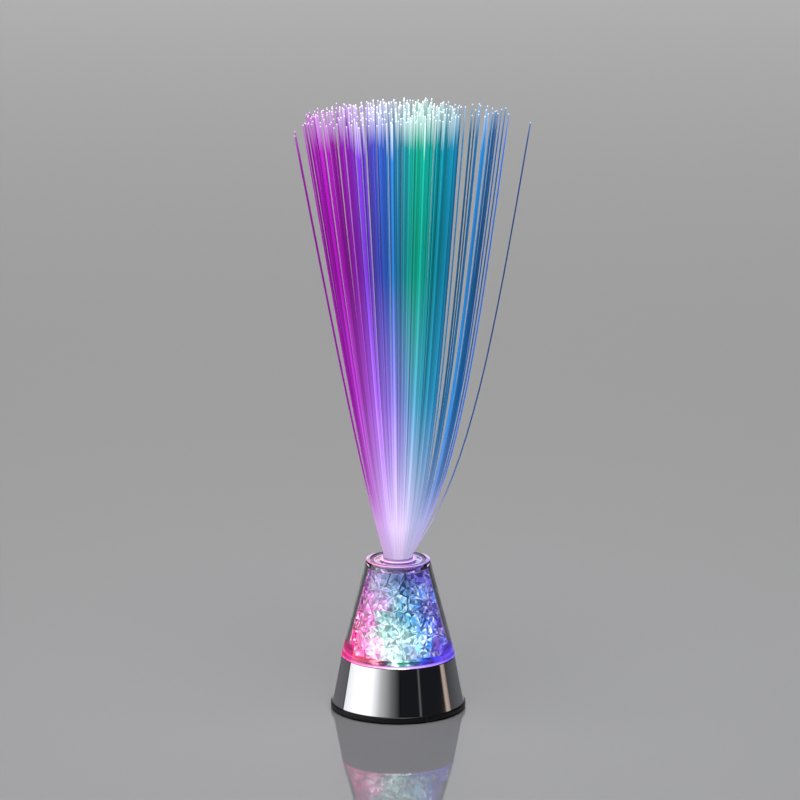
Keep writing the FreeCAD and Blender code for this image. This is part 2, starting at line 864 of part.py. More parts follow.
def fibre_tip(x, y, chance):
    """Where a fibre's tip lies: a wide fan, parted from a sparse tuft on the right."""
    u, v = x / bundle_r, y / bundle_r
    if u < tuft_share:
        tip_x = -spray_left + (u + 1) / (tuft_share + 1) * (spray_left + spray_dense_right)
        tip_y = v * spray_depth
    else:
        tip_x = spray_tuft_left + (u - tuft_share) / (1 - tuft_share) * (spray_right - spray_tuft_left)
        tip_y = v * spray_tuft_depth
    if tip_x < 0:
        sag = spray_sag_left * (tip_x / spray_left) ** 2
    else:
        sag = spray_sag_right * (tip_x / spray_right) ** 2
    sag += spray_sag_deep * (tip_y / spray_depth) ** 2
    spacing = fibre_pitch * spray_depth / bundle_r
    turn = chance.uniform(0, 2 * math.pi)
    scatter = tip_scatter * spacing * math.sqrt(chance.random())
    tip_x += scatter * math.cos(turn) + warp_size * math.sin(7 * v + 0.6) + warp_size * math.sin(5 * u + 2)
    tip_y += scatter * math.sin(turn) + warp_size * math.sin(6 * u - 0.4)
    tip_z = spray_top - sag - spray_uneven * chance.random()
    return V(tip_x, tip_y, tip_z)


def fibre(x, y, tip):
    """One fibre: out of the bonded bundle in the sleeve, then fanned out to its tip."""
    rise = spray_top - spray_bottom
    rightness = min(1, (x / bundle_r + 1) / (tuft_share + 1))
    bend = spray_bend_left + (spray_bend_right - spray_bend_left) * rightness
    heights = [fibre_bottom] + [spray_bottom + share * rise for share in fibre_heights] + [tip.z]
    sections = []
    for z in heights:
        share = max(0.0, (z - spray_bottom) / rise)
        early = (1 - math.exp(-share / spray_bend_reach)) / (1 - math.exp(-1 / spray_bend_reach))
        spread = (1 - bend) * share + bend * early
        middle = V(x + (tip.x - x) * spread, y + (tip.y - y) * spread, z)
        sections.append(Part.makePolygon(hexagon(middle)))
    return Part.makeLoft(sections, True, True)


def hexagon(middle):
    corners = []
    for k in range(fibre_sides + 1):
        turn = 2 * math.pi * (k + 0.5) / fibre_sides
        corners.append(middle + V(math.cos(turn), math.sin(turn), 0) * (fibre_d / 2))
    return corners


def fibres():
    """All fibres by group: rings of the bundle, the right-hand tuft and the lone strays."""
    chance = random.Random(3)
    sites = fibre_sites()
    by_side = sorted(sites)
    strays = by_side[:stray_left_count] + by_side[-1:]
    groups = {name: [] for name in ("fibre_core", "fibre_inner", "fibre_middle", "fibre_outer",
                                    "fibre_side_tuft", "fibre_strays")}
    for x, y in sites:
        tip = fibre_tip(x, y, chance)
        from_axis = math.hypot(x, y)
        if (x, y) in strays:
            tip.x = stray_right if x > 0 else -stray_left
            tip.z -= stray_drop
            name = "fibre_strays"
        elif x / bundle_r >= tuft_share:
            name = "fibre_side_tuft"
        elif from_axis < core_r:
            name = "fibre_core"
        elif from_axis < inner_r:
            name = "fibre_inner"
        elif from_axis < middle_r:
            name = "fibre_middle"
        else:
            name = "fibre_outer"
        groups[name].append(fibre(x, y, tip))
    return {name: Part.makeCompound(group) for name, group in groups.items()}


def build():
    """Every node of the lamp by name."""
    nodes = {
        "foot_ring": foot_ring(),
        "foot_plate": foot_plate(),
        "foot_screws": foot_screws(),
        "battery_door": battery_door(),
        "battery_box": battery_box(),
        "contact_positive": contact_plate(cell_count - 1, cell_count - 1, 1, True),
        "contact_negative": contact_plate(0, 0, -1, True),
        "contact_link_left": contact_plate(1, cell_count - 1, -1, False),
        "contact_link_right": contact_plate(0, 1, 1, False),
        "base_shell": base_shell(),
        "switch_body": switch_body(),
        "switch_slider": switch_slider(),
        "circuit_board": circuit_board(),
        "board_screws": board_screws(),
        "driver_chip": driver_chip(),
        "reflector_cup": reflector_cup(),
        "chamber_floor": chamber_floor(),
        "crystal_chamber": crystal_chamber(),
        "chamber_lid": chamber_lid(),
        "light_tube": light_tube(),
        "fibre_ferrule": fibre_ferrule(),
        "bonded_bundle": bonded_bundle(),
    }
    for cell in range(cell_count):
        nodes[f"battery_{cell + 1}"] = battery(cell)
        nodes[f"contact_spring_{cell + 1}"] = contact_spring(cell)
    for k in range(led_count):
        nodes[f"led_{k + 1}"] = led(k)
    for name, (wire, least) in (("wire_red", wire_red()), ("wire_black", wire_black()),
                                ("wire_switched", wire_switched())):
        nodes[name] = wire
        print(f"{name}: least bend radius {least:.2f} mm")
    coil_gap = (spring_length - 2 * spring_wire_r) / spring_turns - 2 * spring_wire_r
    print(f"contact springs: least gap between turns {coil_gap:.2f} mm")
    chips = crystals()
    nodes["crystals_lower"] = crystal_layer(chips, 0, 0.36)
    nodes["crystals_middle"] = crystal_layer(chips, 0.36, 0.66)
    nodes["crystals_upper"] = crystal_layer(chips, 0.66, 1)
    nodes.update(fibres())
    return nodes


def main():
    os.makedirs("parts", exist_ok=True)
    for name, shape in build().items():
        shape.exportStep(f"parts/{name}.step")
        print(f"{name}: {len(shape.Solids)} solids, {shape.Volume:.1f} mm3, valid {shape.isValid()}")


main()
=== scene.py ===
"""Looks of the fibre optic lamp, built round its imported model: metres, +Z up, front at -Y."""

import math
import random

import bmesh
import bpy
import numpy as np
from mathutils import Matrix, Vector


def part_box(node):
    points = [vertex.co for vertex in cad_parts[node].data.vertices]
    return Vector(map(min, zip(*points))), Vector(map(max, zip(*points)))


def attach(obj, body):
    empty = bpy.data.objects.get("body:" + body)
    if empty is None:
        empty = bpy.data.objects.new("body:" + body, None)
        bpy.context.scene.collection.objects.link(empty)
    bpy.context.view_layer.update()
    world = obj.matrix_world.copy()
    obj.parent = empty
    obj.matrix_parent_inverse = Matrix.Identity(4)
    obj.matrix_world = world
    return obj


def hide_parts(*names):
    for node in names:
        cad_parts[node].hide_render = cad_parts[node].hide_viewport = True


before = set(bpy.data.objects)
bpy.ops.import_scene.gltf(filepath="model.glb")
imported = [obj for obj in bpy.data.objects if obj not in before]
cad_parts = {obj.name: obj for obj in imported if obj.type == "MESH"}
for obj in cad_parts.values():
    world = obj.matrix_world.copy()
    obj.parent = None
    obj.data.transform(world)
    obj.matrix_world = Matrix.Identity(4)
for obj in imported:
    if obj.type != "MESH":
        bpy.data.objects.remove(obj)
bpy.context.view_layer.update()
MM = 0.001

STRAND_NODES = ("fibre_core", "fibre_inner", "fibre_middle", "fibre_outer", "fibre_side_tuft",
                "fibre_strays")
CRYSTAL_NODES = ("crystals_lower", "crystals_middle", "crystals_upper")
CONTACT_NODES = ("contact_positive", "contact_negative", "contact_link_left", "contact_link_right",
                 "contact_spring_1", "contact_spring_2", "contact_spring_3")
CELL_NODES = ("battery_1", "battery_2", "battery_3")


def span(node):
    """A node's lowest and highest corner as vectors."""
    low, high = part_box(node)
    return Vector(low), Vector(high)


spray_low = min(span(node)[0].z for node in STRAND_NODES)
spray_high = max(span(node)[1].z for node in STRAND_NODES)
spray_height = spray_high - spray_low
chamber_low, chamber_high = span("crystal_chamber")
lid_low, lid_high = span("chamber_lid")
tube_top = span("light_tube")[1].z
floor_top = span("chamber_floor")[1].z
bundle_r = span("bonded_bundle")[1].x


# Meshes

WELD = 0.001  # Corners are rounded to steps of this many mm, so that shared ones fall together
HEIGHT_DIGITS = 6  # Heights in metres are rounded to this many digits, to find the levels of a strand


def loose_solids(node):
    """The corners of each solid of a CAD node, as arrays."""
    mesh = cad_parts[node].data
    points = np.empty(len(mesh.vertices) * 3)
    mesh.vertices.foreach_get("co", points)
    points = points.reshape(-1, 3)
    places, owner = np.unique(np.round(points / (MM * WELD)), axis=0, return_inverse=True)
    owner = owner.reshape(-1)
    parent = list(range(len(places)))

    def root(k):
        """The corner that stands for the group that corner k is in."""
        while parent[k] != k:
            parent[k] = parent[parent[k]]
            k = parent[k]
        return k

    for face in mesh.polygons:
        first = root(owner[face.vertices[0]])
        for corner in face.vertices[1:]:
            parent[root(owner[corner])] = first
    groups = {}
    for k in range(len(places)):
        groups.setdefault(root(k), []).append(places[k] * MM * WELD)
    return [np.array(group) for group in groups.values()]


def new_piece(name, mesh, body, replaced):
    """A mesh object that rides on a body and stands for CAD nodes."""
    piece = bpy.data.objects.new(name, mesh)
    bpy.context.scene.collection.objects.link(piece)
    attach(piece, body)
    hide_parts(*replaced)
    return piece


def centre_line(corners):
    """Middle of each level of a strand's corners, from its foot to its tip."""
    heights = np.round(corners[:, 2], HEIGHT_DIGITS)
    return [corners[heights == z].mean(axis=0) for z in np.unique(heights)]


def smooth_line(points, steps):
    """Points of a Catmull-Rom curve through a line of points."""
    line = [2 * points[0] - points[1]] + points + [2 * points[-1] - points[-2]]
    curve = []
    for a, b, c, d in zip(line, line[1:], line[2:], line[3:]):
        for k in range(steps):
            t = k / steps
            curve.append(0.5 * (2 * b + (c - a) * t + (2 * a - 5 * b + 4 * c - d) * t ** 2
                                + (3 * b - a - 3 * c + d) * t ** 3))
    curve.append(points[-1])
    return curve


STRAND_SIDES = 8
STRAND_STEPS = 3
STRAND_RADIUS = 0.375 * MM
TIP_PULL = (0.93, 0.72, 0.35)  # Radii of the rings of a domed tip, as shares of the strand's
HUE_SCATTER = 0.02


def strand_rings(line):
    """Middle and share of the radius of each ring of a strand, with a domed tip."""
    rings = [(point, 1.0) for point in line[:-1]]
    last = len(TIP_PULL) - 1
    for k, share in enumerate(TIP_PULL):
        down = STRAND_RADIUS * (last - k) / last
        rings.append((line[-1] - np.array((0, 0, down)), share))
    return rings


def strands_mesh(name, node, chance):
    """Round fibres on the routes of a CAD node's strands.

    The UV map "strand" holds the strand's place across the bundle and the share of the spray's height.
    The UV map "tip" holds how bright the strand is and the way up to its tip, as a share of that height.
    """
    vertices, faces, strand_places, tip_places = [], [], [], []
    for corners in loose_solids(node):
        line = smooth_line(centre_line(corners), STRAND_STEPS)
        across = (line[0][0] / bundle_r + 1) / 2 + chance.uniform(-HUE_SCATTER, HUE_SCATTER)
        bright = chance.random()
        rings = strand_rings(line)
        start = len(vertices)
        for point, share in rings:
            along = (point[2] - spray_low) / spray_height
            to_tip = (line[-1][2] - point[2]) / spray_height
            for k in range(STRAND_SIDES):
                turn = 2 * math.pi * k / STRAND_SIDES
                vertices.append((point[0] + STRAND_RADIUS * share * math.cos(turn),
                                 point[1] + STRAND_RADIUS * share * math.sin(turn), point[2]))
                strand_places.append((across, along))
                tip_places.append((bright, to_tip))
        for row in range(len(rings) - 1):
            for k in range(STRAND_SIDES):
                a = start + row * STRAND_SIDES + k
                b = start + row * STRAND_SIDES + (k + 1) % STRAND_SIDES
                faces.append((a, b, b + STRAND_SIDES, a + STRAND_SIDES))
        faces.append(tuple(start + k for k in reversed(range(STRAND_SIDES))))
        top = start + (len(rings) - 1) * STRAND_SIDES
        faces.append(tuple(top + k for k in range(STRAND_SIDES)))
    mesh = bpy.data.meshes.new(name)
    mesh.from_pydata(vertices, [], faces)
    mesh.polygons.foreach_set("use_smooth", [True] * len(mesh.polygons))
    strand_map = mesh.uv_layers.new(name="strand")
    tip_map = mesh.uv_layers.new(name="tip")
    for loop in mesh.loops:
        strand_map.data[loop.index].uv = strand_places[loop.vertex_index]
        tip_map.data[loop.index].uv = tip_places[loop.vertex_index]
    return mesh


CRYSTAL_EDGE = 4.2 * MM
CRYSTAL_ROUNDS = 4
CRYSTAL_DENT = 1.0 * MM
DENT_BIAS = 1.5
SPARK_MEAN = 0.45
SPARK_FACING = 0.25
SPARK_SPREAD = 0.9


def crumpled_chip(corners, chance):
    """Hull of a chip's corners, cut into small facets whose corners are pushed in at random."""
    chip = bmesh.new()
    for corner in corners:
        chip.verts.new(corner)
    bmesh.ops.convex_hull(chip, input=chip.verts)
    bmesh.ops.delete(chip, geom=[v for v in chip.verts if not v.link_faces], context="VERTS")
    for _ in range(CRYSTAL_ROUNDS):
        long_edges = [e for e in chip.edges if e.calc_length() > CRYSTAL_EDGE]
        if not long_edges:
            break
        bmesh.ops.subdivide_edges(chip, edges=long_edges, cuts=1)
        bmesh.ops.triangulate(chip, faces=chip.faces)
    middle = Vector(corners.mean(axis=0))
    for vertex in chip.verts:
        inward = (middle - vertex.co).normalized()
        vertex.co += inward * CRYSTAL_DENT * chance.random() ** DENT_BIAS
    chip.verts.index_update()
    chip.normal_update()
    return chip


def facet_spark(face, chance):
    """How bright a facet is: partly chance, and more where it faces out of the chamber."""
    outward = face.calc_center_median()
    outward.z = 0
    facing = face.normal.dot(outward.normalized())
    spark = SPARK_MEAN + SPARK_FACING * facing + SPARK_SPREAD * (chance.random() - 0.5)
    return min(1.0, max(0.0, spark))


def crystals_mesh(name, node, chance):
    """Crumpled chips made from the CAD chips.

    The UV map "spark" holds how bright a facet is and a number that all facets of a chip share.
    """
    vertices, faces, sparks = [], [], []
    for corners in loose_solids(node):
        chip = crumpled_chip(corners, chance)
        shared = chance.random()
        start = len(vertices)
        vertices += [tuple(v.co) for v in chip.verts]
        for face in chip.faces:
            faces.append(tuple(start + v.index for v in face.verts))
            sparks.append((facet_spark(face, chance), shared))
        chip.free()
    mesh = bpy.data.meshes.new(name)
    mesh.from_pydata(vertices, [], faces)
    layer = mesh.uv_layers.new(name="spark")
    for face in mesh.polygons:
        for corner in face.loop_indices:
            layer.data[corner].uv = sparks[face.index]
    return mesh


# Materials

class Shader:
    """A node material with a Principled surface and short calls for the nodes it uses."""

    def __init__(self, name, **values):
        self.material = bpy.data.materials.new(name)
        self.material.use_nodes = True
        self.tree = self.material.node_tree
        self.surface = self.tree.nodes["Principled BSDF"]
        for key, value in values.items():
            self.surface.inputs[key.replace("_", " ")].default_value = value

    def put(self, value, socket):
        """Links or sets a socket."""
        if isinstance(value, bpy.types.NodeSocket):
            self.tree.links.new(value, socket)
        else:
            socket.default_value = value

    def drive(self, name, value):
        """Links or sets an input of the surface."""
        self.put(value, self.surface.inputs[name])

    def node(self, kind, inputs=None, **settings):
        """A new node with its settings and inputs."""
        node = self.tree.nodes.new(kind)
        for key, value in settings.items():
            setattr(node, key, value)
        for key, value in (inputs or {}).items():
            self.put(value, node.inputs[key])
        return node

    def place(self):
        """The point on the part, in metres."""
        return self.node("ShaderNodeTexCoord").outputs["Object"]

    def parts(self, vector):
        """The X, Y and Z of a vector."""
        return self.node("ShaderNodeSeparateXYZ", {0: vector}).outputs

    def uv(self, name):
        """The two numbers of a UV map."""
        parts = self.parts(self.node("ShaderNodeUVMap", uv_map=name).outputs["UV"])
        return parts["X"], parts["Y"]

    def math(self, operation, first, second=0.0, clamp=False):
        node = self.node("ShaderNodeMath", {0: first, 1: second}, operation=operation, use_clamp=clamp)
        return node.outputs[0]

    def plus(self, first, second):
        return self.math("ADD", first, second)

    def times(self, first, second):
        return self.math("MULTIPLY", first, second)

    def power(self, value, exponent):
        return self.math("POWER", value, exponent)

    def distance(self, value, middle):
        """How far a number is from another."""
        return self.math("ABSOLUTE", self.math("SUBTRACT", value, middle))

    def noise(self, vector, scale, detail=3.0):
        inputs = {"Vector": vector, "Scale": scale, "Detail": detail}
        return self.node("ShaderNodeTexNoise", inputs).outputs["Fac"]

    def grade(self, value, low, high, out_low=0.0, out_high=1.0):
        """A number that runs from out_low to out_high as the value runs from low to high."""
        inputs = {"Value": value, "From Min": low, "From Max": high, "To Min": out_low, "To Max": out_high}
        return self.node("ShaderNodeMapRange", inputs).outputs["Result"]

    def ramp(self, factor, stops):
        """A colour that runs through stops of (place, colour)."""
        node = self.node("ShaderNodeValToRGB", {"Fac": factor})
        while len(node.color_ramp.elements) < len(stops):
            node.color_ramp.elements.new(0.5)
        for element, (place, colour) in zip(node.color_ramp.elements, stops):
            element.position = place
            element.color = colour
        return node.outputs["Color"]

    def mix(self, factor, first, second):
        """A mix of two colours."""
        node = self.node("ShaderNodeMix", {"Factor": factor}, data_type="RGBA")
        first_socket, second_socket = (socket for socket in node.inputs if socket.type == "RGBA")
        self.put(first, first_socket)
        self.put(second, second_socket)
        return next(socket for socket in node.outputs if socket.type == "RGBA")

    def blend(self, factor, first, second):
        """A mix of two numbers."""
        inputs = {"Factor": factor, 2: first, 3: second}
        return self.node("ShaderNodeMix", inputs, data_type="FLOAT").outputs[0]

    def bump(self, height, strength, distance):
        node = self.node("ShaderNodeBump", {"Height": height, "Strength": strength, "Distance": distance})
        self.drive("Normal", node.outputs["Normal"])


def linear(value):
    """Linear share of an 8-bit screen value."""
    share = value / 255
    return share / 12.92 if share <= 0.04045 else ((share + 0.055) / 1.055) ** 2.4


def srgb(red, green, blue):
    """Linear colour of an 8-bit screen colour."""
    return linear(red), linear(green), linear(blue), 1


def grey(value):
    return value, value, value, 1


# Hues of the light from the lamp's left side to its right, and the tints that they run into
STRAND_HUES = (
    (0.00, srgb(160, 18, 170)), (0.22, srgb(160, 20, 175)), (0.32, srgb(112, 48, 200)),
    (0.43, srgb(45, 95, 200)), (0.63, srgb(15, 165, 130)), (0.80, srgb(10, 125, 155)),
    (0.92, srgb(35, 110, 180)), (1.00, srgb(25, 75, 170)))
CRYSTAL_HUES = (
    (0.00, srgb(245, 50, 145)), (0.22, srgb(252, 110, 205)), (0.42, srgb(150, 232, 212)),
    (0.60, srgb(25, 175, 195)), (0.80, srgb(80, 130, 235)), (1.00, srgb(130, 90, 240)))
EDGE_HUES = ((0.0, srgb(255, 60, 150)), (0.45, srgb(235, 185, 248)), (1.0, srgb(110, 80, 250)))
LAMP_HUES = (
    (0.00, srgb(235, 35, 95)), (0.28, srgb(230, 45, 110)), (0.40, srgb(60, 60, 110)),
    (0.50, srgb(10, 190, 115)), (0.75, srgb(30, 60, 200)), (1.00, srgb(90, 60, 230)))
ORCHID = srgb(190, 130, 240)
SKY = srgb(90, 130, 215)
LAVENDER = srgb(225, 205, 247)
PALE_TIP_GLOW = srgb(225, 240, 240)
DEEP_VIOLET = srgb(135, 85, 225)
MINT_WHITE = (0.92, 1, 0.97, 1)
HOT_GREEN = (0.85, 1, 0.95, 1)
WHITE = (1, 1, 1, 1)
UNLIT_FIBRE = (0.01, 0.01, 0.012, 1)
UNLIT_ACRYLIC = (0.02, 0.01, 0.04, 1)
ACRYLIC_IOR = 1.49

# Stretches of the spray, as shares of its height
FOOT_FADE = (0.02, 0.2)
NECK_FADE = (0.07, 0.38)
LOWER_FADE = (0.31, 0.64)
UPPER_RISE = (0.72, 0.93)
NECK_BIAS = 1.7
# Depths below a strand's tip
PALE_TIP_DEPTHS = (11 * MM, 21 * MM)
BEAD_DEPTHS = (0.3 * MM, 0.8 * MM)
# Reach of a tint across the bundle: its middle, the distances from it between which the tint fades,
# and its share at each of them
SCATTER_REACH = (0.47, 0.1, 0.4, 0.7, 0.0)
NECK_REACH = (0.5, 0.1, 0.48, 1.0, 0.08)
PALE_TIP_REACH = (0.5, 0.2, 0.48, 0.8, 0.15)
# Strength of the glow, from the dimmest strand to the brightest
STREAK_RANGE = (0.38, 1.35)
STREAK_BIAS = 1.5
STREAK_LIFT = 1.35


def fibre_material():
    """Side-lit fibre: its hue by its place in the bundle, pale at the neck, and its glow painted paler and
    more even under the tip.
    """
    shader = Shader("lit_fibre", Roughness=0.25, IOR=ACRYLIC_IOR)
    across, up = shader.uv("strand")
    bright, to_tip = shader.uv("tip")

    def reach(middle, inner, outer, most, least):
        """How much of a tint a strand takes on, by its place across the bundle."""
        return shader.grade(shader.distance(across, middle), inner, outer, most, least)

    foot = shader.grade(up, *FOOT_FADE, 0.75, 0)
    neck = shader.power(shader.grade(up, *NECK_FADE, 1, 0), NECK_BIAS)
    lower = shader.grade(up, *LOWER_FADE, 1, 0)
    # Painted paler glow: for a stretch below each tip the glow turns paler and more even, while the fibre's
    # surface stays the same.
    depth = shader.grade(bright, 0, 1, *(deep / spray_height for deep in PALE_TIP_DEPTHS))
    pale_tip = shader.math("SUBTRACT", 1.0, shader.math("DIVIDE", to_tip, depth), clamp=True)
    bead = shader.grade(to_tip, *(deep / spray_height for deep in BEAD_DEPTHS), 1, 0)

    colour = shader.ramp(across, STRAND_HUES)
    scattered = shader.mix(shader.grade(across, 0.4, 0.7), ORCHID, SKY)
    colour = shader.mix(shader.times(lower, reach(*SCATTER_REACH)), colour, scattered)
    paled = shader.math("MAXIMUM", foot, shader.times(neck, reach(*NECK_REACH)))
    colour = shader.mix(paled, colour, LAVENDER)
    pale_tip_tint = shader.mix(shader.grade(across, 0.3, 0.55), LAVENDER, PALE_TIP_GLOW)
    colour = shader.mix(shader.times(pale_tip, reach(*PALE_TIP_REACH)), colour, pale_tip_tint)
    colour = shader.mix(shader.times(bead, 0.35), colour, WHITE)

    streak = shader.grade(shader.power(bright, STREAK_BIAS), 0, 1, *STREAK_RANGE)
    streak = shader.times(streak, shader.grade(up, *UPPER_RISE, 1.0, STREAK_LIFT))
    streak = shader.times(streak, shader.grade(lower, 0, 1, 1.0, STREAK_LIFT))
    even = shader.math("MAXIMUM", neck, shader.times(pale_tip, 0.5))
    strength = shader.blend(even, streak, shader.grade(up, 0.0, 0.08, 0.7, 1.0))
    strength = shader.plus(strength, shader.times(bead, 0.9))

    # Painted glow tint: the base colour keeps a fifth of the glow's hue over a near-black unlit fibre.
    shader.drive("Base Color", shader.mix(0.8, colour, UNLIT_FIBRE))
    shader.drive("Emission Color", colour)
    shader.drive("Emission Strength", strength)
    return shader.material


LIT_HALF_WIDTH = 26 * MM
CHIP_HUE_SHIFT = 5 * MM
VIOLET_RISE = (floor_top + 16 * MM, lid_low.z - 4 * MM)
VIOLET_SHARE = 0.6
# Each facet and each chip shows another place of the painted glint bands
FACET_SHIFT = 60 * MM
CHIP_SHIFT = 90 * MM
GLINT_SCALE = 75.0
GLINT_BANDS = 4.0
# The brightest place, a painted pool of light, lies low in the middle, over the lamps
HOT_X = -2 * MM
HOT_HALF_WIDTH = 17 * MM
HOT_RISE = (floor_top + 6 * MM, floor_top + 26 * MM)


def crystal_material():
    """Clear chips lit from below: pink on the left, white and green in the middle, blue on the right."""
    shader = Shader("acrylic_crystal", Roughness=0.06, IOR=ACRYLIC_IOR, Transmission_Weight=0.1)
    spark, chip = shader.uv("spark")
    place = shader.place()
    x, z = (shader.parts(place)[axis] for axis in "XZ")

    shift = shader.grade(chip, 0, 1, -CHIP_HUE_SHIFT, CHIP_HUE_SHIFT)
    across = shader.grade(shader.plus(x, shift), -LIT_HALF_WIDTH, LIT_HALF_WIDTH)
    rise = shader.grade(z, *VIOLET_RISE)
    colour = shader.mix(shader.times(rise, VIOLET_SHARE), shader.ramp(across, CRYSTAL_HUES), DEEP_VIOLET)

    apart = {"X": shader.times(spark, FACET_SHIFT), "Y": shader.times(chip, CHIP_SHIFT)}
    apart = shader.node("ShaderNodeCombineXYZ", apart).outputs[0]
    glint_place = shader.node("ShaderNodeVectorMath", {0: place, 1: apart}, operation="ADD").outputs[0]
    # Painted glints: thin bright bands from noise over the facets stand in for sparkle of the lamps' light.
    bands = shader.math("PINGPONG", shader.times(shader.noise(glint_place, GLINT_SCALE, 1.0), GLINT_BANDS), 0.5)
    streak = shader.power(shader.times(bands, 2.0), 4.0)

    aside = shader.power(shader.grade(shader.distance(x, HOT_X), 0, HOT_HALF_WIDTH), 2)
    above = shader.power(shader.grade(z, *HOT_RISE), 2)
    hot = shader.math("SUBTRACT", 1.0, shader.plus(aside, above), clamp=True)
    # Painted highlights: the glint bands and the pool of light over the lamps turn the colour towards white.
    white = shader.times(streak, shader.grade(rise, 0, 1, 0.6, 0.35))
    white = shader.math("ADD", white, shader.times(hot, 0.45), clamp=True)
    colour = shader.mix(white, colour, MINT_WHITE)

    strength = shader.grade(shader.power(spark, 2.0), 0, 1, 0.12, 1.6)
    strength = shader.plus(strength, shader.times(streak, 0.6))
    strength = shader.times(strength, shader.grade(rise, 0, 1, 1.0, 0.8))
    strength = shader.times(strength, shader.grade(chip, 0, 1, 1.3, 0.65))
    strength = shader.plus(strength, shader.times(hot, 0.3))

    # Painted glow tint: the base colour keeps a quarter of the glow's hue, so the shade between chips looks
    # coloured.
    shader.drive("Base Color", shader.mix(0.75, colour, UNLIT_ACRYLIC))
    shader.drive("Emission Color", colour)
    shader.drive("Emission Strength", strength)
    return shader.material


EDGE_BLUR = 0.1 * MM
EDGE_HALF_WIDTH = 28 * MM


def acrylic_material(name, *rings):
    """Clear acrylic that catches the light at some edges.

    Each ring is (inner radius, outer radius, low height, high height, strength) of a part that shines.
    """
    shader = Shader(name, Roughness=0.02, IOR=ACRYLIC_IOR, Transmission_Weight=1.0,
                    Base_Color=(0.97, 0.97, 1, 1))
    place = shader.place()
    x, z = (shader.parts(place)[axis] for axis in "XZ")
    flat = shader.node("ShaderNodeVectorMath", {0: place, 1: (1, 1, 0)}, operation="MULTIPLY").outputs[0]
    radius = shader.node("ShaderNodeVectorMath", {0: flat}, operation="LENGTH").outputs["Value"]

    def past(value, edge, most=1.0):
        """Nothing before an edge and the most after it."""
        return shader.grade(value, edge - EDGE_BLUR, edge + EDGE_BLUR, 0, most)

    def short_of(value, edge):
        """All before an edge and nothing after it."""
        return shader.grade(value, edge - EDGE_BLUR, edge + EDGE_BLUR, 1, 0)

    total = None
    for inner, outer, low, high, strength in rings:
        share = past(radius, inner, strength)
        for part in (short_of(radius, outer), past(z, low), short_of(z, high)):
            share = shader.times(share, part)
        total = share if total is None else shader.math("MAXIMUM", total, share)
    shader.drive("Emission Color", shader.ramp(shader.grade(x, -EDGE_HALF_WIDTH, EDGE_HALF_WIDTH), EDGE_HUES))
    shader.drive("Emission Strength", total)
    return shader.material


CAUSTIC_SCALE = 230.0
CAUSTIC_HALF_WIDTH = 15 * MM


def floor_disc_material():
    """Clear disc that the lamps below light up: red, green and blue in turn, with caustic streaks."""
    shader = Shader("floor_acrylic", Roughness=0.05, IOR=ACRYLIC_IOR, Transmission_Weight=0.6)
    place = shader.place()
    x = shader.parts(place)["X"]
    colour = shader.ramp(shader.grade(x, -LIT_HALF_WIDTH, LIT_HALF_WIDTH), LAMP_HUES)
    streaks = shader.power(shader.noise(place, CAUSTIC_SCALE, 2.0), 2.0)
    near = shader.grade(shader.distance(x, HOT_X), 0, CAUSTIC_HALF_WIDTH, 1, 0)
    colour = shader.mix(shader.times(near, shader.grade(streaks, 0.2, 0.32)), colour, HOT_GREEN)
    # Painted glow tint: the base colour keeps half of the lamps' hue that lights the disc.
    shader.drive("Base Color", shader.mix(0.5, colour, UNLIT_ACRYLIC))
    shader.drive("Emission Color", colour)
    shader.drive("Emission Strength", shader.grade(streaks, 0.12, 0.4, 0.08, 1.1))
    return shader.material


def lamp_material(node, colour):
    """Clear epoxy round a lit chip: brightest in its dome, and a little uneven where it was cast."""
    shader = Shader("lamp_epoxy_" + node, IOR=1.5, Transmission_Weight=0.6)
    low, high = span(node)
    place = shader.place()
    shader.drive("Roughness", shader.grade(shader.noise(place, 300.0), 0.3, 0.7, 0.03, 0.1))
    shader.drive("Emission Color", colour)
    shader.drive("Emission Strength", shader.grade(shader.parts(place)["Z"], low.z, high.z, 3.0, 5.0))
    return shader.material


def chrome_material():
    """Mirror chrome with faint smears."""
    shader = Shader("chromed_shell", Metallic=1.0, Base_Color=(0.86, 0.87, 0.9, 1))
    shader.drive("Roughness", shader.grade(shader.noise(shader.place(), 60.0, 4.0), 0.3, 0.7, 0.02, 0.08))
    return shader.material


def shaded(shader, factor, colour, darkest):
    """A colour that runs to a darker share of itself."""
    return shader.mix(factor, (*colour, 1), (*(c * darkest for c in colour), 1))


def plastic_material(name, colour, roughness, grain):
    """Moulded plastic with a fine grain and slight variation of gloss."""
    shader = Shader(name, IOR=1.46)
    place = shader.place()
    gloss = shader.grade(shader.noise(place, 240.0), 0.3, 0.7, roughness - 0.06, roughness + 0.08)
    shader.drive("Base Color", shaded(shader, shader.noise(place, 90.0), colour, 0.75))
    shader.drive("Roughness", gloss)
    shader.bump(shader.noise(place, grain, 2.0), 0.12, 0.05 * MM)
    return shader.material


def metal_material(name, colour, roughness):
    """Plated or drawn metal with fine scratches."""
    shader = Shader(name, Metallic=1.0)
    stretch = {"Vector": shader.place(), "Scale": (1.0, 1.0, 14.0)}
    lines = shader.noise(shader.node("ShaderNodeMapping", stretch).outputs[0], 320.0)
    shader.drive("Base Color", shaded(shader, lines, colour, 0.8))
    shader.drive("Roughness", shader.grade(lines, 0.3, 0.7, roughness, roughness + 0.12))
    return shader.material


# The lamp

